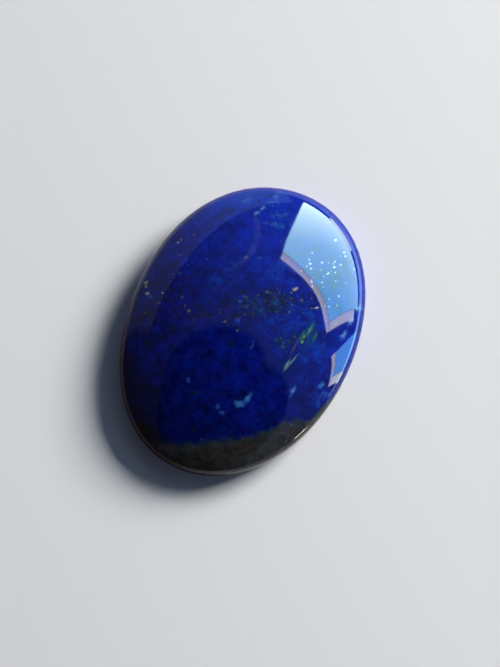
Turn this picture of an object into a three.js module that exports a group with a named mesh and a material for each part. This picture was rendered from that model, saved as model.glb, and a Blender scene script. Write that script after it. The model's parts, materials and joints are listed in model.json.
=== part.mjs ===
// A polished oval cabochon of lapis lazuli: one solid stone with a low dome, a rounded rim and a
// flat ground back. Millimetres, +Z up. The origin is the middle of the flat back, +Y runs along
// the stone and +X across it.
import * as THREE from 'three';

// Driving dimensions
const LENGTH = 34.0; // tip to tip, along Y
const WIDTH = 24.8; // across the middle, along X
const THICKNESS = 6.0; // flat back to crown
const GIRDLE_HEIGHT = 2.8; // height of the stone's widest line
const EDGE_INSET = 0.95; // how far the rounded lower edge draws in
const EDGE_TURN = 58; // degrees that the lower edge turns before the bevel
const BEVEL = 0.3; // small bevel around the flat back
const DOME_FULLNESS = 2.15; // 2 is a plain ellipse, more gives a flatter crown and a fuller shoulder

// The oval was ground by hand, so its radius departs from an ellipse by these small waves, each
// given as its number of waves around the stone and its cosine and sine parts.
const HAND_CUT = [
  { waves: 1, cosine: -0.0044, sine: 0 },
  { waves: 3, cosine: 0, sine: 0.0075 },
  { waves: 4, cosine: -0.0057, sine: -0.003 },
];

// Facets
const FACETS_AROUND = 120;
const DOME_RINGS = 26;
const EDGE_RINGS = 7;

// Look
const ULTRAMARINE = 0x10248f;
const POLISH_ROUGHNESS = 0.08;

// The outline as a factor on the ellipse's radius, at an angle from +X towards +Y.
function handCut(angle) {
  let factor = 1;
  for (const { waves, cosine, sine } of HAND_CUT) {
    factor += cosine * Math.cos(waves * angle) + sine * Math.sin(waves * angle);
  }
  return factor;
}

// The section of the stone from the crown down to the flat back. A ring is its height, its share
// of the full outline and how far it is drawn in from there.
function sectionRings() {
  const rings = [];
  for (let i = 1; i <= DOME_RINGS; i += 1) {
    const turn = (i / DOME_RINGS) * (Math.PI / 2);
    const share = Math.sin(turn) ** (2 / DOME_FULLNESS);
    const rise = Math.max(Math.cos(turn), 0) ** (2 / DOME_FULLNESS);
    rings.push({ height: GIRDLE_HEIGHT + (THICKNESS - GIRDLE_HEIGHT) * rise, share, inset: 0 });
  }
  const lastTurn = THREE.MathUtils.degToRad(EDGE_TURN);
  const drop = GIRDLE_HEIGHT - BEVEL;
  for (let i = 1; i <= EDGE_RINGS; i += 1) {
    const turn = (i / EDGE_RINGS) * lastTurn;
    const height = GIRDLE_HEIGHT - drop * (Math.sin(turn) / Math.sin(lastTurn));
    const inset = EDGE_INSET * ((1 - Math.cos(turn)) / (1 - Math.cos(lastTurn)));
    rings.push({ height, share: 1, inset });
  }
  rings.push({ height: 0, share: 1, inset: EDGE_INSET + BEVEL });
  return rings;
}

// One corner of a ring: the ring's own ellipse, shaped by the hand-cut outline.
function ringPoint({ height, share, inset }, angle) {
  const reach = share * handCut(angle);
  const x = reach * (WIDTH / 2 - inset) * Math.cos(angle);
  const y = reach * (LENGTH / 2 - inset) * Math.sin(angle);
  return [x, y, height];
}

// The closed skin: a fan at the crown, bands of facets between the rings, and the flat back.
function stoneGeometry() {
  const rings = sectionRings();
  const corners = [[0, 0, THICKNESS]];
  for (const ring of rings) {
    for (let i = 0; i < FACETS_AROUND; i += 1) {
      corners.push(ringPoint(ring, (i / FACETS_AROUND) * 2 * Math.PI));
    }
  }
  corners.push([0, 0, 0]);

  const crown = 0;
  const backMiddle = corners.length - 1;
  const corner = (ring, i) => 1 + ring * FACETS_AROUND + (i % FACETS_AROUND);
  const faces = [];
  for (let i = 0; i < FACETS_AROUND; i += 1) {
    faces.push(crown, corner(0, i), corner(0, i + 1));
    for (let ring = 0; ring < rings.length - 1; ring += 1) {
      faces.push(corner(ring, i), corner(ring + 1, i), corner(ring + 1, i + 1));
      faces.push(corner(ring, i), corner(ring + 1, i + 1), corner(ring, i + 1));
    }
    faces.push(backMiddle, corner(rings.length - 1, i + 1), corner(rings.length - 1, i));
  }

  const geometry = new THREE.BufferGeometry();
  geometry.setAttribute('position', new THREE.Float32BufferAttribute(corners.flat(), 3));
  geometry.setIndex(faces);
  return geometry;
}

// The hand-cut waves shift and stretch the outline by a hair, so the finished stone is brought
// back to its stated width and length, centred on the origin.
function fitToSize(geometry) {
  geometry.computeBoundingBox();
  const size = geometry.boundingBox.getSize(new THREE.Vector3());
  const middle = geometry.boundingBox.getCenter(new THREE.Vector3());
  geometry.translate(-middle.x, -middle.y, 0);
  geometry.scale(WIDTH / size.x, LENGTH / size.y, 1);
  geometry.computeVertexNormals();
  return geometry;
}

const polishedLapis = new THREE.MeshStandardMaterial({
  color: ULTRAMARINE,
  roughness: POLISH_ROUGHNESS,
  metalness: 0,
});

const stone = new THREE.Mesh(fitToSize(stoneGeometry()), polishedLapis);
stone.name = 'lapis_cabochon';

const group = new THREE.Group();
group.add(stone);

export default group;
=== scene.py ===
"""The look of a polished lapis lazuli cabochon, an oval stone lying on its flat ground back.

The stone's form repeats the CAD solid's formulas on a fine mesh, because a polished dome shows
every facet in its reflections. Its colours are one procedural material, laid out in millimetres
in the stone's own frame: +Y along the stone, away from its grey matrix end, +Z up.
"""
import json
import math
from functools import reduce

import bpy
import numpy as np
from mathutils import Euler, Matrix, Vector

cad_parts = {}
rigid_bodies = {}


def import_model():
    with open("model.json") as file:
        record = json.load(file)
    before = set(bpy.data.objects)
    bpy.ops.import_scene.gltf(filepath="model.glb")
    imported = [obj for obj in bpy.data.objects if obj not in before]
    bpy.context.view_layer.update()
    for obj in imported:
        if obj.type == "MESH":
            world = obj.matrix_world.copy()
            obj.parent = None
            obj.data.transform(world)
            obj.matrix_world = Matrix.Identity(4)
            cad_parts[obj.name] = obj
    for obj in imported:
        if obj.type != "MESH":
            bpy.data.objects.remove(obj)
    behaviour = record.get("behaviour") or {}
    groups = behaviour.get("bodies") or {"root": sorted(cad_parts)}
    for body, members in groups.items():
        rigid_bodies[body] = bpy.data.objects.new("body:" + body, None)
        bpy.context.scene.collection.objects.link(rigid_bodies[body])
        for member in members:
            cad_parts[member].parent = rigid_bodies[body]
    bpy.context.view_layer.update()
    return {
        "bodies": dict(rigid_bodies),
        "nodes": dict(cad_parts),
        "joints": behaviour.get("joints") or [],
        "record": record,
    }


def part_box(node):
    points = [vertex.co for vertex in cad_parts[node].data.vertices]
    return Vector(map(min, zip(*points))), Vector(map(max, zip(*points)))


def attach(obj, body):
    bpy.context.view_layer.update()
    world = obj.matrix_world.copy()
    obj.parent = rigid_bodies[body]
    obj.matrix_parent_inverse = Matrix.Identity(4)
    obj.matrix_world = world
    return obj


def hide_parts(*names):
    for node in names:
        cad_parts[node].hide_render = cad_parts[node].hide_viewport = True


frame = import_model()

MM = 0.001
STONE_NODE = "lapis_cabochon"

# ---------------------------------------------------------------------------------------------
# The form, in millimetres. The three overall sizes come from the frame.
# ---------------------------------------------------------------------------------------------
stone_low, stone_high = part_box(STONE_NODE)
WIDTH, LENGTH, THICKNESS = ((high - low) / MM for low, high in zip(stone_low, stone_high))
GIRDLE_HEIGHT = 2.8
EDGE_INSET = 0.95
EDGE_TURN = math.radians(58)
BEVEL = 0.3
DOME_FULLNESS = 2.15
ARRIS_RADIUS = 0.07  # wear on the two edges of the bevel

# Waves that the hand-ground outline has on a plain ellipse: waves around, cosine part, sine part
HAND_CUT = ((1, -0.0044, 0.0), (3, 0.0, 0.0075), (4, -0.0057, -0.003))

# Faint waves left by hand polishing: height, wavelength, direction in degrees, phase in degrees
POLISH_WAVES = ((0.0035, 9.0, 20, 40), (0.003, 7.0, 110, 200), (0.0015, 4.5, 65, 90))

# The mesh: points around, and rings on each stretch of the section
AROUND = 640
DOME_RINGS = 104
EDGE_RINGS = 22
ARRIS_RINGS = 4
BACK_RINGS = 8

# The two islands of UVs: middle and half length
DOME_ISLAND, DOME_ISLAND_REACH = (0.32, 0.5), 0.42
UNDER_ISLAND, UNDER_ISLAND_REACH = (0.815, 0.5), 0.24

# ---------------------------------------------------------------------------------------------
# The camera, in the stone's frame
# ---------------------------------------------------------------------------------------------
IMAGE_WIDTH, IMAGE_HEIGHT = 500, 667
CAMERA_AZIMUTH = math.radians(22.65)
CAMERA_ELEVATION = math.radians(70.36)
CAMERA_DISTANCE = 0.25
CAMERA_AIM = (0.87 * MM, 0.39 * MM)  # aim to the right of and above the stone's origin, in the view
PIXELS_PER_MM = 9.168  # at the aim, for the length that was assumed
SENSOR = 36.0
CAMERA_NEAR = 0.01


def hand_cut(angle):
    """The outline as a factor on the ellipse's radius."""
    factor = np.ones_like(angle)
    for waves, cosine, sine in HAND_CUT:
        factor += cosine * np.cos(waves * angle) + sine * np.sin(waves * angle)
    return factor


def rounded_corner(before, corner, after, radius, steps):
    """Points of a small round, as a quadratic curve, in place of a sharp corner of the section."""
    before, corner, after = (np.array(p, float) for p in (before, corner, after))
    start = corner + (before - corner) / np.linalg.norm(before - corner) * radius
    end = corner + (after - corner) / np.linalg.norm(after - corner) * radius
    along = np.linspace(0, 1, steps + 1)[:, None]
    return (1 - along) ** 2 * start + 2 * along * (1 - along) * corner + along**2 * end


def section():
    """Rings from the crown to the middle of the back: height, share of the outline, inset."""
    turn = np.linspace(0, math.pi / 2, DOME_RINGS + 1)[1:]
    share = np.sin(turn) ** (2 / DOME_FULLNESS)
    rise = np.maximum(np.cos(turn), 0) ** (2 / DOME_FULLNESS)
    dome = np.stack([GIRDLE_HEIGHT + (THICKNESS - GIRDLE_HEIGHT) * rise, share, 0 * turn], 1)

    turn = np.linspace(0, EDGE_TURN, EDGE_RINGS + 1)[1:]
    height = GIRDLE_HEIGHT - (GIRDLE_HEIGHT - BEVEL) * np.sin(turn) / math.sin(EDGE_TURN)
    inset = EDGE_INSET * (1 - np.cos(turn)) / (1 - math.cos(EDGE_TURN))
    edge = np.stack([inset, height], 1)

    upper, lower = (EDGE_INSET, BEVEL), (EDGE_INSET + BEVEL, 0.0)
    inward = (lower[0] + 1.0, 0.0)  # any place farther in on the back
    rounds = [
        rounded_corner(edge[-2], upper, lower, ARRIS_RADIUS, ARRIS_RINGS),
        rounded_corner(upper, lower, inward, ARRIS_RADIUS, ARRIS_RINGS),
    ]
    lower_side = np.concatenate([edge[:-1], *rounds])
    lower_side = np.stack([lower_side[:, 1], np.ones(len(lower_side)), lower_side[:, 0]], 1)

    back = lower_side[-1:].repeat(BACK_RINGS, 0)
    back[:, 1] = np.linspace(1, 0, BACK_RINGS + 2)[1:-1]
    return np.concatenate([dome, lower_side, back]), len(dome) - 1


def polish_waves(x, y):
    """How far hand polishing left the dome above or below its true form."""
    height = np.zeros_like(x)
    for size, wavelength, direction, phase in POLISH_WAVES:
        along = x * math.cos(math.radians(direction)) + y * math.sin(math.radians(direction))
        height += size * np.sin(along * 2 * math.pi / wavelength + math.radians(phase))
    return height


def stone_points():
    """The rings' points in millimetres as [ring, around, xyz], and the girdle's ring number."""
    rings, girdle = section()
    angle = np.linspace(0, 2 * math.pi, AROUND, endpoint=False)
    height, share, inset = rings.T[:, :, None]
    reach = share * hand_cut(angle)
    x = reach * (WIDTH / 2 - inset) * np.cos(angle)
    y = reach * (LENGTH / 2 - inset) * np.sin(angle)
    x = (x - (x.max() + x.min()) / 2) * WIDTH / (x.max() - x.min())
    y = (y - (y.max() + y.min()) / 2) * LENGTH / (y.max() - y.min())
    on_dome = np.clip((height - GIRDLE_HEIGHT) / (THICKNESS - GIRDLE_HEIGHT), 0, 1)
    z = height + polish_waves(x, y) * on_dome
    return np.stack([x, y, z], -1), girdle


def bake_layout(points, girdle):
    """Two islands of UVs, dome and underside, each unrolled so that the steep rim keeps its size."""
    steps = np.linalg.norm(np.diff(points, axis=0), axis=-1).mean(1)
    from_crown = np.concatenate([[0], np.cumsum(steps)]) + np.linalg.norm(points[0, :, :2], axis=1).mean()
    to_middle = from_crown[-1] - from_crown + np.linalg.norm(points[-1, :, :2], axis=1).mean()
    angle = np.linspace(0, 2 * math.pi, AROUND, endpoint=False)
    direction = np.stack([WIDTH / LENGTH * np.cos(angle), np.sin(angle)], -1)
    mirrored = (-UNDER_ISLAND_REACH, UNDER_ISLAND_REACH)
    dome = (from_crown / from_crown[girdle])[:, None, None] * direction * DOME_ISLAND_REACH + DOME_ISLAND
    under = (to_middle / to_middle[girdle])[:, None, None] * direction * mirrored + UNDER_ISLAND
    return dome, under


def make_stone():
    """The stone's mesh: the rings joined by quads, with a fan at the crown and one on the back."""
    points, girdle = stone_points()
    rings = len(points)
    crown, middle = rings * AROUND, rings * AROUND + 1
    top_z = THICKNESS + polish_waves(np.zeros(1), np.zeros(1))[0]
    vertices = np.concatenate([points.reshape(-1, 3), [[0, 0, top_z], [0, 0, 0]]]) * MM

    index = np.arange(rings * AROUND).reshape(rings, AROUND)
    following = np.roll(index, -1, 1)
    quads = np.stack([index[:-1], index[1:], following[1:], following[:-1]], -1).reshape(-1, 4)
    crown_fan = np.stack([np.full(AROUND, crown), index[0], following[0]], -1)
    back_fan = np.stack([np.full(AROUND, middle), following[-1], index[-1]], -1)
    faces = [*quads.tolist(), *crown_fan.tolist(), *back_fan.tolist()]

    mesh = bpy.data.meshes.new("stone")
    mesh.from_pydata(vertices.tolist(), [], faces)
    mesh.polygons.foreach_set("use_smooth", np.ones(len(faces), bool))

    dome_uv, under_uv = bake_layout(points, girdle)
    dome_uv = np.concatenate([dome_uv.reshape(-1, 2), [DOME_ISLAND, DOME_ISLAND]])
    under_uv = np.concatenate([under_uv.reshape(-1, 2), [UNDER_ISLAND, UNDER_ISLAND]])
    corners = np.concatenate([quads.ravel(), crown_fan.ravel(), back_fan.ravel()])
    on_dome = np.concatenate([
        np.arange(len(quads)) < girdle * AROUND,
        np.ones(AROUND, bool),
        np.zeros(AROUND, bool),
    ])
    sides = np.concatenate([np.full(len(quads), 4), np.full(2 * AROUND, 3)])
    uv = np.where(on_dome.repeat(sides)[:, None], dome_uv[corners], under_uv[corners])
    mesh.uv_layers.new(name="OFBake").data.foreach_set("uv", uv.ravel())

    stone = bpy.data.objects.new("stone", mesh)
    bpy.context.scene.collection.objects.link(stone)
    return stone


# ---------------------------------------------------------------------------------------------
# The stone's markings, in millimetres
# ---------------------------------------------------------------------------------------------
# Their places were read off the photograph. A spot is x, y, half length, half width and the
# direction of its length in degrees from +X.
CALCITE_BRIGHT = (
    (8.0, -5.15, 0.50, 0.28, 84),
    (10.6, 3.0, 0.62, 0.22, 80),
    (10.7, 4.8, 0.70, 0.22, 85),
    (10.9, 6.6, 0.60, 0.34, 80),
    (-3.35, 12.2, 0.44, 0.28, 65),
    (-3.0, 13.0, 0.44, 0.24, 50),
)
CALCITE_MIDDLE = (
    (3.4, -8.8, 0.50, 0.38, 20),
    (3.98, -7.90, 0.66, 0.28, 75),
    (10.5, -3.2, 0.42, 0.17, 80),
)
CALCITE_MIST = (
    (-0.6, 11.7, 1.60, 0.34, 14),
    (-2.2, 14.9, 0.80, 0.46, 100),
    (-2.1, 14.1, 0.80, 0.50, 20),
    (-5.2, 13.4, 0.90, 0.50, 40),
    (-1.0, 13.0, 1.20, 0.60, 30),
    (11.3, -3.9, 0.70, 0.36, 60),
)
CALCITE_FAINT = (
    (1.4, -9.9, 0.40, 0.30, 90),
    (2.1, -10.4, 0.36, 0.20, 10),
    (10.9, -5.1, 0.46, 0.20, 100),
    (8.0, -5.9, 0.30, 0.13, 85),
    (-0.3, -0.3, 0.40, 0.28, 100),
    (2.2, -2.3, 0.60, 0.13, 95),
    (-1.0, 7.2, 0.34, 0.26, 0),
    (-10.2, -1.1, 0.42, 0.30, 0),
    (-2.6, -8.5, 0.34, 0.24, 80),
)
AZURE_PATCHES = (
    (5.0, 2.4, 3.8, 2.2, 35),
    (1.6, 6.9, 2.6, 1.7, 40),
    (-3.6, 3.6, 2.0, 1.4, 60),
    (8.6, -0.8, 2.6, 1.4, 80),
    (-4.8, 13.9, 1.5, 0.8, 40),
    (-1.0, 11.5, 1.8, 0.4, 14),
    (10.5, -1.7, 0.60, 0.34, 85),
    (10.2, -4.4, 1.20, 0.60, 80),
    (6.2, 2.6, 2.0, 1.2, 60),
    (0.2, 12.2, 2.0, 1.2, 40),
)
VIOLET_PATCHES = ((-1.6, 1.6, 3.6, 2.2, 20), (-7.6, -1.0, 3.4, 2.2, 80), (2.0, 9.6, 2.6, 1.4, 70))
GREEN_STREAKS = (
    (7.15, 1.8, 0.95, 0.22, 84),
    (6.65, 0.75, 0.75, 0.20, 86),
    (7.9, 1.3, 0.62, 0.13, 88),
)
TEAL_STREAKS = (
    (6.4, -2.9, 0.95, 0.28, 86),
    (7.4, 0.9, 1.50, 0.75, 86),
    (2.6, 3.0, 0.55, 0.34, 20),
    (1.6, 1.6, 0.34, 0.26, 40),
)
GREEN_GLINT = ((6.88, 0.13, 0.20, 0.13, 80), (6.86, 0.75, 0.30, 0.06, 84))
PALE_STREAKS = (
    (6.38, -2.9, 0.66, 0.17, 86),
    (6.75, -2.3, 1.05, 0.09, 76),
    (7.12, 1.7, 0.60, 0.06, 84),
)
BROWN_STREAKS = ((6.35, -0.7, 1.1, 0.16, 88),)
CHAIN = (
    (-3.75, 13.7, 0.30, 0.20, 60),
    (-4.1, 13.0, 0.28, 0.20, 60),
    (-4.45, 12.35, 0.30, 0.20, 60),
    (-5.0, 11.85, 0.34, 0.22, 40),
    (-2.95, 15.0, 0.60, 0.20, 70),
)
# Pyrite: lumps as spots, then round grains as x, y and radius
PYRITE_LUMPS = (
    (3.97, 5.35, 0.38, 0.19, 55),
    (6.84, 4.35, 0.22, 0.12, 40),
    (-11.4, 0.4, 0.26, 0.22, 60),
    (-10.7, -0.8, 0.23, 0.20, 0),
    (-11.2, -0.05, 0.16, 0.13, 0),
    (-9.1, -0.3, 0.14, 0.12, 20),
    (-10.0, 5.9, 0.16, 0.12, 40),
)
PYRITE_DIM = (
    (1.31, 3.82, 0.17), (5.06, 4.46, 0.19), (-9.8, 6.3, 0.19), (-5.6, -1.3, 0.19),
    (-2.3, 6.7, 0.20), (-0.9, 1.7, 0.15), (-1.5, -1.0, 0.15), (0.1, -1.5, 0.16),
    (6.44, 4.07, 0.13), (4.33, 3.58, 0.11), (4.37, 2.67, 0.10),
)
PYRITE_FAINT = (
    (-8.7, 7.3, 0.15), (-9.2, 4.5, 0.15), (-9.0, -1.5, 0.16), (-8.2, 2.4, 0.16),
    (-6.9, -0.1, 0.16), (-6.2, -0.9, 0.13), (-0.8, 2.4, 0.14), (-10.1, -3.0, 0.15),
)
PYRITE_RIGHT = (
    (3.71, 4.76, 0.09), (4.0, 10.1, 0.11), (4.0, 9.2, 0.12), (4.3, 8.8, 0.18),
    (4.6, 8.3, 0.15), (4.1, 8.3, 0.12), (5.4, 9.5, 0.17), (5.6, 8.6, 0.09),
    (6.6, 10.2, 0.15), (6.8, 9.6, 0.16), (6.4, 8.5, 0.12), (6.3, 7.3, 0.14),
    (6.6, 6.9, 0.07), (8.6, 8.5, 0.07), (8.5, 6.7, 0.12), (7.7, 5.9, 0.13),
    (8.0, 5.1, 0.10), (8.7, 5.6, 0.08), (7.1, 11.8, 0.15), (7.3, 10.2, 0.13),
    (5.7, 12.7, 0.16), (3.7, 7.6, 0.09), (5.2, 6.9, 0.17), (5.5, 6.4, 0.18),
    (9.4, 3.6, 0.12),
)
# Where specks of pyrite, diopside and dark minerals gather
DUST_CLOUDS = (
    (-8.6, 0.6, 5.0, 2.6, 75),
    (6.6, 8.0, 4.4, 2.2, 60),
    (-1.2, 0.2, 3.4, 1.8, 10),
    (-5.2, -1.4, 2.8, 1.5, 20),
    (3.2, 3.6, 3.4, 1.8, 30),
)
GLITTER_CLOUDS = ((6.2, 8.2, 4.0, 1.9, 55), (7.6, 4.6, 1.6, 0.8, 80))
GREEN_CLOUDS = ((2.4, 3.2, 2.6, 1.6, 25), (0.4, 1.6, 2.8, 1.3, 20), (5.4, -0.6, 1.8, 1.2, 60))
# Painted shade: dark clouds on the lower-left of the stone, the side away from the window
PAINTED_SHADE_CLOUDS = (
    (-6.4, -12.2, 5.4, 2.8, -42),
    (-9.3, -9.6, 3.2, 1.7, -62),
)
# A brown-black corner beside the matrix
UMBER_CLOUDS = ((-4.6, -15.4, 2.9, 1.5, -20), (-9.8, -11.4, 1.6, 0.8, -50))
# Soft dark green blotches in the blue
GREEN_BLOTCHES = (
    (-1.44, -9.50, 0.42, 0.34, 30),
    (-0.03, -13.10, 0.42, 0.36, 0),
    (-8.20, -6.20, 0.60, 0.46, 20),
    (0.05, -3.10, 0.46, 0.36, 0),
    (-1.05, 2.80, 0.48, 0.38, 0),
    (-6.40, -3.60, 0.50, 0.34, 60),
    (-9.40, -3.00, 0.60, 0.40, 10),
    (-3.40, -0.90, 0.50, 0.32, 40),
)

# The contact between the blue and the grey matrix: a slanted wavy plane, blue above it, and
# its swells as x, y, height and radius.
CONTACT_HEIGHT = -3.14
CONTACT_SLOPE = (0.331, -0.522)
CONTACT_SWELLS = (
    (8.5, -8.7, 0.34, 2.4),
    (10.6, -6.9, -0.42, 1.3),
    (12.3, -1.6, 0.55, 2.0),
    (11.8, -4.9, 0.40, 1.6),
    (-2.2, -15.6, -0.28, 1.8),
)

# The grey-violet vein bends round this point: its path in plan is a parabola
VEIN_BEND = (-2.02, 8.2)
VEIN_CURVE = -0.105

# Painted light and shade: how the blue is painted lighter toward +X and +Y, the side of the window and
# key light, and darker away from it, per millimetre along X and Y
PAINTED_LIGHT_SLOPE = (0.006, 0.020)

# Colours, as linear light
NAVY = (0.0003, 0.0014, 0.036, 1)
DEEP_BLUE = (0.0004, 0.0028, 0.090, 1)
ULTRAMARINE = (0.0006, 0.0038, 0.125, 1)
COBALT = (0.0016, 0.0135, 0.330, 1)
AZURE = (0.0010, 0.0330, 0.320, 1)
VIOLET = (0.0075, 0.0045, 0.120, 1)
INK = (0.0018, 0.0018, 0.011, 1)
UMBER_BLACK = (0.0048, 0.0032, 0.0028, 1)
BOTTLE_GREEN = (0.0010, 0.0080, 0.0140, 1)
BROWN_HAZE = (0.0070, 0.0050, 0.0140, 1)
GREEN_HAZE = (0.0040, 0.0270, 0.0560, 1)
OLIVE = (0.0420, 0.0450, 0.0130, 1)
OLIVE_DARK = (0.0130, 0.0170, 0.0080, 1)
MOSS = (0.0150, 0.0680, 0.0240, 1)
FERN = (0.0320, 0.0900, 0.0120, 1)
TEAL = (0.0040, 0.0560, 0.1500, 1)
UMBER = (0.0260, 0.0160, 0.0340, 1)
CALCITE = (0.125, 0.255, 0.450, 1)
CALCITE_BLUE = (0.032, 0.125, 0.360, 1)
CALCITE_VEILED = (0.014, 0.060, 0.320, 1)
LEAF_GREEN = (0.020, 0.130, 0.065, 1)
YELLOW_GREEN = (0.130, 0.380, 0.040, 1)
PALE_GREEN = (0.120, 0.250, 0.230, 1)
BROWN = (0.072, 0.062, 0.045, 1)
VEIN_GREY = (0.026, 0.042, 0.270, 1)
MATRIX_DARK = (0.0080, 0.0066, 0.0058, 1)
MATRIX_LIGHT = (0.030, 0.0275, 0.0240, 1)
MATRIX_TEAL = (0.013, 0.028, 0.036, 1)
PYRITE = (0.34, 0.31, 0.20, 1)
PYRITE_VEILED = (0.12, 0.12, 0.05, 1)
GROUND_DUST = (0.16, 0.18, 0.28, 1)
PYRITE_METAL = 0.45
POLISH_IOR = 1.52
# Relief in the shading alone, in millimetres
PIT_DEPTH = 0.012
PYRITE_RISE = 0.0015
SCRATCH_DEPTH = 0.05
GREEN_SPECKS = (MOSS, INK, OLIVE_DARK, TEAL, FERN, INK, OLIVE)
FINE_GREEN_SPECKS = (INK, MOSS, OLIVE_DARK, FERN, NAVY)
DUST_SPECKS = (INK, OLIVE_DARK, UMBER, NAVY, INK)


class Graph:
    """A thin layer over a node tree, so that a material reads as a list of steps."""

    def __init__(self, tree):
        self.nodes = tree.nodes
        self.links = tree.links

    def put(self, socket, value):
        if isinstance(value, bpy.types.NodeSocket):
            self.links.new(value, socket)
        else:
            socket.default_value = value

    def make(self, kind, values, output=0, **settings):
        made = self.nodes.new(kind)
        for name, setting in settings.items():
            setattr(made, name, setting)
        for key, value in values.items():
            self.put(made.inputs[key], value)
        return made.outputs[output]

    def math(self, operation, a, b=0.0, c=0.0, clamp=False):
        return self.make("ShaderNodeMath", {0: a, 1: b, 2: c}, operation=operation, use_clamp=clamp)

    def vector(self, operation, a, b=(0, 0, 0), output=0):
        return self.make("ShaderNodeVectorMath", {0: a, 1: b}, output, operation=operation)

    def scaled(self, a, factor):
        return self.make("ShaderNodeVectorMath", {0: a, "Scale": factor}, operation="SCALE")

    def noise(self, where, size, detail=3.0, roughness=0.55, output=0):
        """Noise from 0 to 1 whose lumps are about size millimetres across."""
        values = {"Vector": where, "Scale": 1 / size, "Detail": detail, "Roughness": roughness}
        return self.make("ShaderNodeTexNoise", values, output, noise_dimensions="3D")

    def lumps(self, where, size, detail, roughness, swing):
        """Noise about 0 that reaches roughly half of swing to either side."""
        return self.math("MULTIPLY_ADD", self.noise(where, size, detail, roughness), swing, -swing / 2)

    def warped(self, place, plan, size, reach):
        """plan, shifted by up to about half of reach in lumps of size millimetres."""
        parts = self.nodes.new("ShaderNodeSeparateColor")
        self.put(parts.inputs[0], self.noise(place, size, 3.0, output="Color"))
        shifts = [self.math("MULTIPLY_ADD", part, reach, -reach / 2) for part in parts.outputs[:2]]
        return self.vector("ADD", plan, self.make("ShaderNodeCombineXYZ", {0: shifts[0], 1: shifts[1]}))

    def specks(self, where, size, density, inner, outer):
        """Soft specks in the share density of cells of about size millimetres, and a tint each."""
        cell = self.nodes.new("ShaderNodeTexVoronoi")
        self.put(cell.inputs["Vector"], where)
        self.put(cell.inputs["Scale"], 1 / size)
        chance = self.nodes.new("ShaderNodeSeparateColor")
        self.put(chance.inputs[0], cell.outputs["Color"])
        kept = self.math("LESS_THAN", chance.outputs[0], density)
        shape = self.ramp(cell.outputs["Distance"], inner, outer, 1.0, 0.0)
        return self.math("MULTIPLY", shape, kept), chance.outputs[1]

    def palette(self, value, colors):
        """The colour whose equal share of 0 to 1 holds value."""
        node = self.nodes.new("ShaderNodeValToRGB")
        self.put(node.inputs[0], value)
        node.color_ramp.interpolation = "CONSTANT"
        steps = node.color_ramp.elements
        while len(steps) < len(colors):
            steps.new(1.0)
        for number, (step, color) in enumerate(zip(steps, colors)):
            step.position = number / len(colors)
            step.color = color
        return node.outputs[0]

    def ramp(self, value, start, end, low=0.0, high=1.0):
        """value eased from low to high while it goes from start to end."""
        values = {0: value, 1: start, 2: end, 3: low, 4: high}
        return self.make("ShaderNodeMapRange", values, interpolation_type="SMOOTHSTEP")

    def mix(self, amount, a, b):
        values = {0: amount, 6: a, 7: b}
        return self.make("ShaderNodeMix", values, 2, data_type="RGBA", clamp_factor=True)

    def smallest(self, values):
        return reduce(lambda least, value: self.math("MINIMUM", least, value), values)

    def spots(self, where, spots):
        """Distance to the nearest spot, in units of its own size, so that 1 is its edge."""
        return self.math("SQRT", self.smallest(self.spot(where, *spot) for spot in spots))

    def spot(self, where, x, y, half_length, half_width, direction):
        """Square of the distance to one spot, in units of its own size."""
        along = Vector((1, 0, 0))
        along.rotate(Euler((0, 0, math.radians(direction))))
        across = Vector((-along.y, along.x, 0))
        local = self.vector("SUBTRACT", where, (x, y, 0))
        u = self.vector("DOT_PRODUCT", local, along / half_length, "Value")
        v = self.vector("DOT_PRODUCT", local, across / half_width, "Value")
        return self.math("MULTIPLY_ADD", u, u, self.math("MULTIPLY", v, v))

    def grains(self, where, grains):
        """As spots, for round grains."""
        return self.smallest(self.grain(where, *grain) for grain in grains)

    def grain(self, where, x, y, radius):
        distance = self.vector("DISTANCE", where, (x, y, 0), "Value")
        return self.math("DIVIDE", distance, radius)


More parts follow.
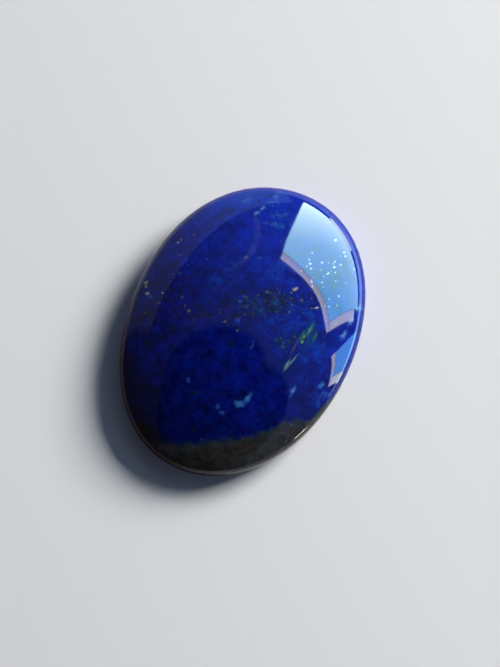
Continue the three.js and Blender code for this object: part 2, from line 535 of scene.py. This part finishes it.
def lapis_material():
    """Polished lapis lazuli, from the blue up to the pyrite, and its matt ground back."""
    material = bpy.data.materials.new("polished_lapis")
    material.use_nodes = True
    tree = material.node_tree
    tree.nodes.clear()
    g = Graph(tree)

    # Places: the point in millimetres, its height, and its plan with two strengths of warp
    place = g.scaled(g.make("ShaderNodeTexCoord", {}, "Object"), 1 / MM)
    axes = g.nodes.new("ShaderNodeSeparateXYZ")
    g.put(axes.inputs[0], place)
    x, y, height = axes.outputs
    plan = g.make("ShaderNodeCombineXYZ", {0: x, 1: y})
    soft_plan = g.warped(place, plan, 0.50, 0.70)
    streak_plan = g.warped(place, plan, 0.50, 0.34)
    grain_plan = g.warped(place, plan, 0.16, 0.34)
    cloud_plan = g.warped(place, plan, 1.60, 2.60)

    # The blue: patches, mottle and grain of lazurite from navy through ultramarine to cobalt
    tone = g.lumps(place, 5.0, 2.0, 0.50, 0.26)
    tone = g.math("ADD", tone, g.lumps(place, 1.5, 2.0, 0.55, 0.58))
    tone = g.math("ADD", tone, g.lumps(place, 0.45, 1.0, 0.60, 0.20))
    # Painted light and shade: the tone slopes lighter toward the window's side and darker away from it
    tone = g.math("MULTIPLY_ADD", x, PAINTED_LIGHT_SLOPE[0], tone)
    tone = g.math("MULTIPLY_ADD", y, PAINTED_LIGHT_SLOPE[1], tone)
    color = g.mix(g.ramp(tone, -0.26, 0.02), NAVY, ULTRAMARINE)
    color = g.mix(g.ramp(tone, -0.02, 0.30), color, COBALT)
    azure = g.ramp(g.spots(cloud_plan, AZURE_PATCHES), 0.2, 1.3, 0.92, 0.12)
    azure = g.math("MULTIPLY", azure, g.ramp(g.noise(place, 0.9, 3.0, 0.6), 0.34, 0.70))
    color = g.mix(azure, color, AZURE)
    violet = g.ramp(g.spots(cloud_plan, VIOLET_PATCHES), 0.2, 1.3, 0.75, 0.32)
    violet = g.math("MULTIPLY", violet, g.ramp(g.noise(place, 0.7, 4.0, 0.7), 0.46, 0.66))
    color = g.mix(violet, color, VIOLET)

    # Painted shade: dark clouds on the lower-left, the side away from the window
    painted_shade = g.ramp(g.spots(cloud_plan, PAINTED_SHADE_CLOUDS), 0.2, 1.1, 0.85, 0.0)
    painted_shade = g.math("MULTIPLY", painted_shade, g.ramp(g.noise(place, 1.1, 2.0, 0.5), 0.22, 0.62))
    color = g.mix(painted_shade, color, INK)
    umber = g.ramp(g.spots(soft_plan, UMBER_CLOUDS), 0.4, 1.2, 0.92, 0.0)
    color = g.mix(umber, color, UMBER_BLACK)
    blotches = g.ramp(g.spots(soft_plan, GREEN_BLOTCHES), 0.2, 1.5, 0.70, 0.0)
    color = g.mix(blotches, color, BOTTLE_GREEN)
    chain = g.ramp(g.spots(streak_plan, CHAIN), 0.4, 1.5, 0.75, 0.0)
    color = g.mix(chain, color, DEEP_BLUE)

    # Specks: green and teal ones in their clouds, olive, brown and dark ones wherever dust is
    green = g.ramp(g.spots(cloud_plan, GREEN_CLOUDS), 0.2, 1.2, 1.0, 0.0)
    dusty = g.ramp(g.spots(cloud_plan, DUST_CLOUDS), 0.2, 1.3, 1.0, 0.04)
    haze = g.math("MULTIPLY", green, g.ramp(g.noise(place, 0.5, 3.0, 0.65), 0.40, 0.62, 0.0, 0.70))
    color = g.mix(haze, color, GREEN_HAZE)
    haze = g.math("MULTIPLY", dusty, g.ramp(g.noise(place, 0.8, 3.0, 0.65), 0.40, 0.62, 0.0, 0.70))
    color = g.mix(haze, color, BROWN_HAZE)
    crooked = g.warped(place, place, 0.24, 0.50)
    speck, tint = g.specks(crooked, 0.52, g.math("MULTIPLY", green, 0.92), 0.10, 0.48)
    color = g.mix(g.math("MULTIPLY", speck, 0.72), color, g.palette(tint, GREEN_SPECKS))
    speck, tint = g.specks(crooked, 0.33, g.math("MULTIPLY", green, 0.80), 0.10, 0.50)
    color = g.mix(g.math("MULTIPLY", speck, 0.60), color, g.palette(tint, FINE_GREEN_SPECKS))
    speck, tint = g.specks(crooked, 0.44, g.math("MULTIPLY", dusty, 0.60), 0.10, 0.46)
    color = g.mix(g.math("MULTIPLY", speck, 0.70), color, g.palette(tint, DUST_SPECKS))

    # The grey-violet vein, along a parabola in plan
    from_bend = g.math("SUBTRACT", y, VEIN_BEND[1])
    bend = g.math("MULTIPLY_ADD", g.math("MULTIPLY", from_bend, from_bend), VEIN_CURVE, VEIN_BEND[0])
    across = g.math("SUBTRACT", x, bend)
    across = g.math("ABSOLUTE", g.math("ADD", across, g.lumps(place, 1.4, 2.0, 0.5, 0.4)))
    vein = g.ramp(across, 0.10, 0.55, 0.55, 0.0)
    vein = g.math("MULTIPLY", vein, g.ramp(y, 3.4, 7.6))
    vein = g.math("MULTIPLY", vein, g.ramp(y, 11.4, 12.2, 1.0, 0.0))
    vein = g.math("MULTIPLY", vein, g.ramp(g.noise(place, 0.9, 3.0), 0.30, 0.60, 0.60, 1.0))
    color = g.mix(vein, color, VEIN_GREY)

    # Calcite and diopside
    faint = g.ramp(g.spots(soft_plan, CALCITE_FAINT), 0.2, 1.3, 0.62, 0.0)
    color = g.mix(faint, color, CALCITE_VEILED)
    mist = g.ramp(g.spots(soft_plan, CALCITE_MIST), 0.0, 1.3, 0.85, 0.0)
    mist = g.math("MULTIPLY", mist, g.ramp(g.noise(place, 0.5, 3.0, 0.65), 0.40, 0.68))
    color = g.mix(mist, color, CALCITE_BLUE)
    middle = g.ramp(g.spots(soft_plan, CALCITE_MIDDLE), 0.0, 1.5, 0.95, 0.0)
    color = g.mix(middle, color, CALCITE_BLUE)
    bright = g.spots(soft_plan, CALCITE_BRIGHT)
    color = g.mix(g.ramp(bright, 0.6, 1.6, 0.7, 0.0), color, CALCITE_VEILED)
    color = g.mix(g.ramp(bright, 0.0, 1.0, 0.85, 0.0), color, CALCITE)
    streaks = (
        (TEAL_STREAKS, soft_plan, 0.50, TEAL),
        (GREEN_STREAKS, streak_plan, 0.85, LEAF_GREEN),
        (BROWN_STREAKS, streak_plan, 0.60, BROWN),
        (PALE_STREAKS, streak_plan, 0.85, PALE_GREEN),
        (GREEN_GLINT, streak_plan, 0.95, YELLOW_GREEN),
    )
    for table, where, strength, streak_color in streaks:
        color = g.mix(g.ramp(g.spots(where, table), 0.1, 1.4, strength, 0.0), color, streak_color)

    # The grey matrix under the contact
    contact = g.math("MULTIPLY_ADD", x, CONTACT_SLOPE[0], CONTACT_HEIGHT)
    contact = g.math("MULTIPLY_ADD", y, CONTACT_SLOPE[1], contact)
    for swell_x, swell_y, swell_height, swell_radius in CONTACT_SWELLS:
        away = g.vector("DISTANCE", plan, (swell_x, swell_y, 0), "Value")
        contact = g.math("ADD", contact, g.ramp(away, 0.0, swell_radius, swell_height, 0.0))
    contact = g.math("ADD", contact, g.lumps(place, 1.8, 2.0, 0.60, 1.2))
    contact = g.math("ADD", contact, g.lumps(place, 0.7, 3.0, 0.60, 0.7))
    depth = g.math("SUBTRACT", contact, height)
    depth = g.math("MULTIPLY", depth, g.ramp(x, -8.0, -1.0, 0.35, 1.0))
    matrix_tone = g.lumps(place, 1.4, 3.0, 0.55, 1.2)
    matrix_tone = g.math("ADD", matrix_tone, g.lumps(place, 0.45, 2.0, 0.6, 0.50))
    matrix_tone = g.math("MULTIPLY_ADD", x, 0.006, matrix_tone)
    matrix_color = g.mix(g.ramp(matrix_tone, -0.32, 0.40), MATRIX_DARK, MATRIX_LIGHT)
    edge = g.ramp(x, -5.0, 0.0, 0.0, 0.42)
    beneath = g.math("MULTIPLY", g.ramp(depth, 0.1, 1.0, 1.0, 0.0), edge)
    above = g.math("MULTIPLY", g.ramp(depth, -0.45, 0.05), edge)
    matrix_color = g.mix(beneath, matrix_color, MATRIX_TEAL)
    color = g.mix(above, color, MATRIX_TEAL)
    matrix = g.ramp(depth, -0.14, 0.20)
    color = g.mix(matrix, color, matrix_color)

    # Pyrite: lumps and grains listed one by one, and fine dust in clouds
    lumps = g.ramp(g.spots(grain_plan, PYRITE_LUMPS), 0.5, 1.25, 0.9, 0.0)
    right = g.ramp(g.grains(grain_plan, PYRITE_RIGHT), 0.4, 1.15, 0.8, 0.0)
    dim = g.ramp(g.grains(grain_plan, PYRITE_DIM), 0.3, 1.5, 0.60, 0.0)
    dim = g.math("MAXIMUM", dim, g.ramp(g.grains(grain_plan, PYRITE_FAINT), 0.3, 1.5, 0.28, 0.0))
    on_top = g.ramp(height, 2.4, 2.8)
    color = g.mix(g.math("MULTIPLY", dim, on_top), color, PYRITE_VEILED)
    dust, tint = g.specks(place, 0.36, g.math("MULTIPLY", dusty, 0.42), 0.08, 0.22)
    dust = g.math("MULTIPLY", dust, g.ramp(tint, 0.4, 1.0, 0.05, 0.48))
    glitter = g.ramp(g.spots(cloud_plan, GLITTER_CLOUDS), 0.2, 1.2, 0.6, 0.0)
    sparkle, tint = g.specks(place, 0.46, glitter, 0.10, 0.30)
    sparkle = g.math("MULTIPLY", sparkle, g.ramp(tint, 0.0, 1.0, 0.3, 0.95))
    dust = g.math("MAXIMUM", dust, sparkle)
    pyrite = g.math("MULTIPLY", g.math("MAXIMUM", lumps, right), on_top)
    pyrite = g.math("MAXIMUM", pyrite, dust)
    color = g.mix(pyrite, color, PYRITE)

    # The ground back: matt and dusty up to the bevel
    ground = g.ramp(height, 0.02, 0.10, 1.0, 0.0)
    color = g.mix(g.math("MULTIPLY", ground, 0.30), color, GROUND_DUST)

    roughness = g.ramp(g.noise(place, 3.0, 3.0), 0.35, 0.7, 0.03, 0.05)
    roughness = g.math("MULTIPLY_ADD", matrix, 0.05, roughness)
    roughness = g.math("MULTIPLY_ADD", pyrite, 0.12, roughness)
    roughness = g.math("MULTIPLY_ADD", ground, 0.45, roughness)

    # Relief: pits in the matrix, pyrite a touch proud and a ground texture on the back
    pits = g.math("MULTIPLY", g.ramp(g.noise(place, 0.28, 3.0, 0.6), 0.60, 0.72), matrix)
    relief = g.math("MULTIPLY_ADD", pits, -PIT_DEPTH, g.math("MULTIPLY", pyrite, PYRITE_RISE))
    scratches = g.math("MULTIPLY", g.noise(place, 0.12, 4.0, 0.7), ground)
    relief = g.math("MULTIPLY_ADD", scratches, SCRATCH_DEPTH, relief)
    normal = g.make("ShaderNodeBump", {"Strength": 1.0, "Distance": MM, "Height": relief})

    shader = g.nodes.new("ShaderNodeBsdfPrincipled")
    g.put(shader.inputs["Base Color"], color)
    g.put(shader.inputs["Metallic"], g.math("MULTIPLY", pyrite, PYRITE_METAL))
    g.put(shader.inputs["Roughness"], roughness)
    g.put(shader.inputs["Normal"], normal)
    g.put(shader.inputs["IOR"], POLISH_IOR)
    output = g.nodes.new("ShaderNodeOutputMaterial")
    g.put(output.inputs["Surface"], shader.outputs[0])
    return material


# ---------------------------------------------------------------------------------------------
# The stage
# ---------------------------------------------------------------------------------------------
FLOOR_COLOR = (0.80, 0.79, 0.77, 1)
FLOOR_SIZE = 4.0
FLOOR_ROUGHNESS = 0.9
BACKDROP_DISTANCE = 1.5
BACKDROP_HEIGHT = 1.5
BACKDROP_CORNERS = 48
BACKDROP_GLOW = (0.62, 0.63, 0.65, 1)
GLOW_START, GLOW_FULL = 0.08, 0.30  # how far from the stone the far floor takes on the glow
VEIL = 0.5 * MM  # how far the sheets that lie on the floor are above it

# Painted shade: a brown sheet on the floor, which only the polish sees, fading to either side of a
# direction; it stands in for the brown, shadowed ground that the rim mirrors
SHADE_FLAG_COLOR = (0.28, 0.18, 0.15, 1)
FLAG_SIZE = 1.2
FLAG_TOWARD = math.radians(-132)
FLAG_OUTER, FLAG_INNER = math.radians(66), math.radians(20)

# The room that the polish mirrors is dim, a little lighter on the window's side, and dark in a
# round patch overhead.
ROOM_DARK = (0.004, 0.005, 0.008, 1)
ROOM_DIM = (0.045, 0.045, 0.065, 1)
ROOM_LIGHT = (0.13, 0.19, 0.30, 1)
ROOM_SIDE = Vector((0.75, 0.62, 0.0))
# Direction, and the angles from it at which the dark begins and is full
OVERHEAD_DARK = (
    (Vector((-0.147, -0.002, 0.989)), math.radians(17.7), math.radians(16.3)),
    (Vector((0.03, -0.27, 0.962)), math.radians(29.2), math.radians(27.8)),
)

# The window wall is one plane: its middle, the way it faces and its level direction. The panes
# and their frames are placed on it by how far they lie across and up from the middle, in metres.
WINDOW_CENTRE = Vector((0.144, 0.373, 0.448))
WINDOW_FACING = Vector((-0.23, -0.96, 0.14)).normalized()
WINDOW_ACROSS = Vector((0.97, -0.21, 0.11)).normalized()
WINDOW_UP = WINDOW_FACING.cross(WINDOW_ACROSS).normalized()
# The side window stands on a wall of its own.
SIDE_CENTRE = Vector((0.0314, 0.2984, 0.0))
SIDE_FACING = Vector((-0.1045, -0.9945, 0.0)).normalized()
SIDE_ACROSS = Vector((0.9945, -0.1045, 0.0)).normalized()

# The key light, which looks at the stone
KEY_PLACE = Vector((0.30, 0.39, 0.345))
KEY_SIZE = (0.30, 0.30)
# A low sunlit patch of ground, just outside the matrix end
SUNLIT_PLACE = Vector((0.0300, -0.0124, 0.0012))
SUNLIT_FACING = Vector((-0.955, 0.296, 0.0))
SUNLIT_ACROSS = Vector((0.296, 0.955, 0.0))
SUNLIT_SIZE = (0.0044, 0.0023)
# A pale wall beside the window, leaning in its own plane
WALL_CENTRE = Vector((-0.4415, 0.4714, 0.1862))
WALL_FACING = Vector((0.883, -0.469, 0.0))
WALL_ACROSS = Vector((0.459, 0.864, -0.208))
WALL_SIZE = (0.98, 0.90)

SKY_WHITE = (15.0, 20.5, 17.5)
SKY_PALE = (4.9, 9.7, 10.8)
SKY_BLUE = (2.3, 6.6, 9.8)
SIDE_SKY = (1.35, 4.4, 10.3)
FRAME_MAUVE = (4.9, 5.0, 5.3)
FRAME_PINK = (6.0, 5.8, 6.0)
FRAME_PALE = (7.2, 7.4, 6.4)
FRAME_WHITE = (8.0, 9.0, 8.0)
GLARE = (16.0, 16.0, 16.0)
SILL = (2.8, 5.0, 7.4)
WALL_NEAR = (0.12, 0.13, 0.17)
WALL_MIDDLE = (0.22, 0.29, 0.52)
WALL_FAR = (0.30, 0.62, 1.15)
SUNLIT = (14.0, 13.4, 10.4)
KEY = (18.5, 18.5, 18.5)


def stage_mesh(name, points, faces, material):
    mesh = bpy.data.meshes.new(name)
    mesh.from_pydata(points, [], faces)
    mesh.materials.append(material)
    made = bpy.data.objects.new(name, mesh)
    bpy.context.scene.collection.objects.link(made)
    return made


def square(size, height):
    half = size / 2
    points = [(-half, -half, height), (half, -half, height), (half, half, height), (-half, half, height)]
    return points, [(0, 1, 2, 3)]


def make_floor():
    material = bpy.data.materials.new("floor")
    material.use_nodes = True
    shader = material.node_tree.nodes["Principled BSDF"]
    shader.inputs["Base Color"].default_value = FLOOR_COLOR
    shader.inputs["Roughness"].default_value = FLOOR_ROUGHNESS
    shader.inputs["Specular IOR Level"].default_value = 0.0
    stage_mesh("floor", *square(FLOOR_SIZE, 0.0), material)


def veil(name):
    """A material that its blend shader, which is returned with it, can fade to see-through."""
    material = bpy.data.materials.new(name)
    material.use_nodes = True
    tree = material.node_tree
    tree.nodes.clear()
    g = Graph(tree)
    blend = g.nodes.new("ShaderNodeMixShader")
    g.put(blend.inputs[1], g.make("ShaderNodeBsdfTransparent", {}))
    output = g.nodes.new("ShaderNodeOutputMaterial")
    g.put(output.inputs["Surface"], blend.outputs[0])
    return material, g, blend


def make_backdrop():
    """A pale glow, which only the camera sees: a wall far around the stone, and the far floor."""
    corners = BACKDROP_CORNERS
    angles = [2 * math.pi * i / corners for i in range(corners)]
    rings = ((GLOW_START, VEIL), (BACKDROP_DISTANCE, VEIL), (BACKDROP_DISTANCE, BACKDROP_HEIGHT))
    points = [(math.cos(a) * reach, math.sin(a) * reach, z) for reach, z in rings for a in angles]
    faces = [(ring + i, ring + i + corners, ring + (i + 1) % corners + corners, ring + (i + 1) % corners)
             for ring in (0, corners) for i in range(corners)]
    material, g, blend = veil("backdrop")
    plan = g.vector("MULTIPLY", g.make("ShaderNodeTexCoord", {}, "Object"), (1, 1, 0))
    away = g.vector("LENGTH", plan, output="Value")
    g.put(blend.inputs[0], g.ramp(away, GLOW_START, GLOW_FULL))
    g.put(blend.inputs[2], g.make("ShaderNodeEmission", {"Color": BACKDROP_GLOW}))
    backdrop = stage_mesh("backdrop", points, faces, material)
    backdrop.visible_glossy = False
    backdrop.visible_diffuse = False
    backdrop.visible_shadow = False


def make_shade_flag():
    """Painted shade: a brown sheet that only the polish sees, for the dark, shadowed ground that the rim
    mirrors on the side away from the window.
    """
    material, g, blend = veil("shade_flag")
    plan = g.vector("MULTIPLY", g.make("ShaderNodeTexCoord", {}, "Object"), (1, 1, 0))
    aim = Vector((math.cos(FLAG_TOWARD), math.sin(FLAG_TOWARD), 0))
    toward = g.vector("DOT_PRODUCT", g.vector("NORMALIZE", plan), aim, "Value")
    g.put(blend.inputs[0], g.ramp(toward, math.cos(FLAG_OUTER), math.cos(FLAG_INNER)))
    g.put(blend.inputs[2], g.make("ShaderNodeBsdfDiffuse", {"Color": SHADE_FLAG_COLOR}))
    shade_flag = stage_mesh("shade_flag", *square(FLAG_SIZE, VEIL), material)
    shade_flag.visible_camera = False
    shade_flag.visible_diffuse = False
    shade_flag.visible_shadow = False


def make_world():
    world = bpy.data.worlds.new("studio")
    world.use_nodes = True
    g = Graph(world.node_tree)
    direction = g.make("ShaderNodeTexCoord", {}, "Generated")
    side = g.vector("DOT_PRODUCT", direction, ROOM_SIDE, "Value")
    room = g.mix(g.ramp(side, -0.25, 0.15), ROOM_DIM, ROOM_LIGHT)
    for centre, outer, inner in OVERHEAD_DARK:
        toward = g.vector("DOT_PRODUCT", direction, centre, "Value")
        room = g.mix(g.ramp(toward, math.cos(outer), math.cos(inner)), room, ROOM_DARK)
    g.put(world.node_tree.nodes["Background"].inputs["Color"], room)
    bpy.context.scene.world = world


def faded(radiance, factor):
    return tuple(value * factor for value in radiance)


def make_panel(name, centre, facing, across, size, tones, fade=(1.0, 0.0), mirrored=True):
    """A rectangular light at centre that faces facing and whose width runs along across.

    Its radiance follows tones, (place, radiance) pairs from 0 to 1 along fade, which says how
    much the width and the height count. A mirrored panel only shows in polish, and any other
    only gives light.
    """
    light = bpy.data.lights.new(name, "AREA")
    light.shape = "RECTANGLE"
    light.size, light.size_y = size
    strongest = max(max(radiance) for _, radiance in tones)
    light.energy = strongest * math.pi * size[0] * size[1]
    light.use_nodes = True
    g = Graph(light.node_tree)
    parametric = g.nodes.new("ShaderNodeSeparateXYZ")
    g.put(parametric.inputs[0], g.make("ShaderNodeNewGeometry", {}, "Parametric"))
    rightward = parametric.outputs[0]
    upward = g.math("SUBTRACT", 1.0, parametric.outputs[1])
    along = g.math("MULTIPLY_ADD", upward, fade[1], g.math("MULTIPLY", rightward, fade[0]))
    shade = g.nodes.new("ShaderNodeValToRGB")
    g.put(shade.inputs[0], along)
    steps = shade.color_ramp.elements
    while len(steps) < len(tones):
        steps.new(0.5)
    for step, (place, radiance) in zip(steps, tones if len(tones) > 1 else tones * 2):
        step.position = place
        step.color = [value / strongest for value in radiance] + [1]
    g.put(light.node_tree.nodes["Emission"].inputs["Color"], shade.outputs[0])

    panel = bpy.data.objects.new(name, light)
    backward = -facing.normalized()
    downward = backward.cross(across).normalized()
    turn = Matrix((downward.cross(backward), downward, backward)).transposed()
    panel.matrix_world = Matrix.Translation(centre) @ turn.to_4x4()
    panel.visible_camera = False
    panel.visible_glossy = mirrored
    panel.visible_diffuse = not mirrored
    bpy.context.scene.collection.objects.link(panel)


def window_place(left, right, bottom, top):
    """The panel arguments from centre to size, for a part of the window wall."""
    across, up = (left + right) / 2, (bottom + top) / 2
    centre = WINDOW_CENTRE + WINDOW_ACROSS * across + WINDOW_UP * up
    return centre, WINDOW_FACING, WINDOW_ACROSS, (right - left, top - bottom)


def side_place(left, right, bottom, top):
    """As window_place, for the side window's wall."""
    centre = SIDE_CENTRE + SIDE_ACROSS * (left + right) / 2 + Vector((0, 0, (bottom + top) / 2))
    return centre, SIDE_FACING, SIDE_ACROSS, (right - left, top - bottom)


def make_lights():
    sky = ((0.0, SKY_WHITE), (0.4, SKY_PALE), (0.8, SKY_BLUE))
    make_panel("sky", *window_place(-0.207, 0.207, -0.311, 0.311), sky, (0.5, 0.5))
    make_panel("glare", *window_place(-0.12, 0.0, -0.352, -0.325), ((0, GLARE),))
    frame = ((0.2, FRAME_MAUVE), (0.55, FRAME_PINK), (0.9, FRAME_PALE))
    make_panel("frame_top", *window_place(-0.207, 0.260, 0.315, 0.391), frame, (0.0, 1.0))
    make_panel("frame_side", *window_place(0.211, 0.260, -0.21, 0.315), ((0, FRAME_PALE),))
    sill = ((0.06, 0.2), (0.18, 0.5), (0.30, 0.85), (0.45, 1.0), (0.72, 0.7), (1.0, 0.5))
    sill = [(place, faded(SILL, factor)) for place, factor in sill]
    make_panel("sill", *window_place(-0.3, 0.9, -0.47, -0.36), sill)

    make_panel("side_sky", *side_place(0.437, 0.762, 0.03, 0.558), ((0, SIDE_SKY),))
    make_panel("side_frame_top", *side_place(0.437, 0.96, 0.562, 0.64), ((0, FRAME_PINK),))
    make_panel("side_frame", *side_place(0.768, 0.96, 0.03, 0.562), ((0, FRAME_WHITE),))

    wall_tones = (
        (0.0, faded(WALL_NEAR, 0.3)),
        (0.025, faded(WALL_NEAR, 0.5)),
        (0.04, WALL_NEAR),
        (0.38, WALL_MIDDLE),
        (0.715, WALL_FAR),
    )
    make_panel("wall", WALL_CENTRE, WALL_FACING, WALL_ACROSS, WALL_SIZE, wall_tones)

    make_panel("sunlit", SUNLIT_PLACE, SUNLIT_FACING, SUNLIT_ACROSS, SUNLIT_SIZE, ((0, SUNLIT),))

    key_across = KEY_PLACE.cross(Vector((0, 0, 1))).normalized()
    make_panel("key", KEY_PLACE, -KEY_PLACE, key_across, KEY_SIZE, ((0, KEY),), mirrored=False)


def make_camera():
    back = Vector((
        math.sin(CAMERA_AZIMUTH) * math.cos(CAMERA_ELEVATION),
        -math.cos(CAMERA_AZIMUTH) * math.cos(CAMERA_ELEVATION),
        math.sin(CAMERA_ELEVATION),
    ))
    right = Vector((math.cos(CAMERA_AZIMUTH), math.sin(CAMERA_AZIMUTH), 0))
    up = back.cross(right)
    data = bpy.data.cameras.new("camera")
    data.sensor_width = SENSOR
    data.lens = PIXELS_PER_MM / MM * CAMERA_DISTANCE * SENSOR / max(IMAGE_WIDTH, IMAGE_HEIGHT)
    data.clip_start = CAMERA_NEAR
    camera = bpy.data.objects.new("camera", data)
    aim = right * CAMERA_AIM[0] + up * CAMERA_AIM[1]
    turn = Matrix((right, up, back)).transposed().to_4x4()
    camera.matrix_world = Matrix.Translation(aim + back * CAMERA_DISTANCE) @ turn
    bpy.context.scene.collection.objects.link(camera)
    bpy.context.scene.camera = camera


bpy.context.scene.view_settings.view_transform = "Standard"
make_camera()
make_world()
make_floor()
make_backdrop()
make_shade_flag()
make_lights()

stone = make_stone()
stone.data.materials.append(lapis_material())
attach(stone, "root")
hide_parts(STONE_NODE)
